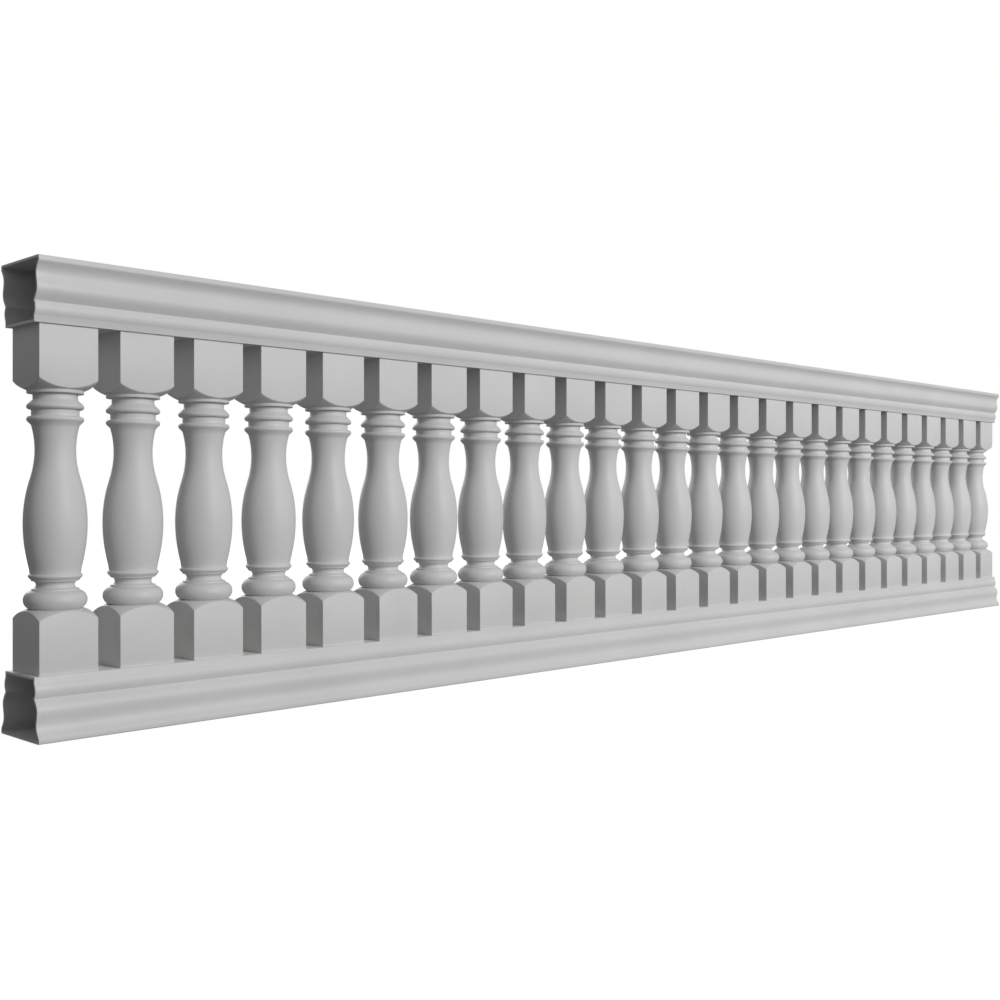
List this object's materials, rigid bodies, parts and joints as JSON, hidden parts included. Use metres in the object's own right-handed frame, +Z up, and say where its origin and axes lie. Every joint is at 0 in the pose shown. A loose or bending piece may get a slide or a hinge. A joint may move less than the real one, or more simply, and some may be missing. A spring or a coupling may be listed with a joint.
{
  "type": "fiberglass balustrade section",
  "caption": "Straight balustrade section: hollow moulded fiberglass top and bottom rails joined by a row of turned vase balusters with square blocks.",
  "frame": {"origin": "centre of the bottom rail's underside, midway between the rail's two ends", "axes": "+X along the rails, +Y across them, +Z up"},
  "size_m": [4.572, 0.179, 0.98],
  "materials": {
    "moulded_rail": "light grey-white gelcoated fiberglass, satin, open laminate inside",
    "moulded_baluster": "light grey-white gelcoated fiberglass, satin"
  },
  "bodies": {
    "root": {"top_rail": "moulded_rail", "bottom_rail": "moulded_rail", "baluster_01": "moulded_baluster", "baluster_02": "moulded_baluster", "baluster_03": "moulded_baluster", "baluster_04": "moulded_baluster", "baluster_05": "moulded_baluster", "baluster_06": "moulded_baluster", "baluster_07": "moulded_baluster", "baluster_08": "moulded_baluster", "baluster_09": "moulded_baluster", "baluster_10": "moulded_baluster", "baluster_11": "moulded_baluster", "baluster_12": "moulded_baluster", "baluster_13": "moulded_baluster", "baluster_14": "moulded_baluster", "baluster_15": "moulded_baluster", "baluster_16": "moulded_baluster", "baluster_17": "moulded_baluster", "baluster_18": "moulded_baluster", "baluster_19": "moulded_baluster", "baluster_20": "moulded_baluster", "baluster_21": "moulded_baluster", "baluster_22": "moulded_baluster", "baluster_23": "moulded_baluster", "baluster_24": "moulded_baluster", "baluster_25": "moulded_baluster", "baluster_26": "moulded_baluster"}
  },
  "joints": []
}
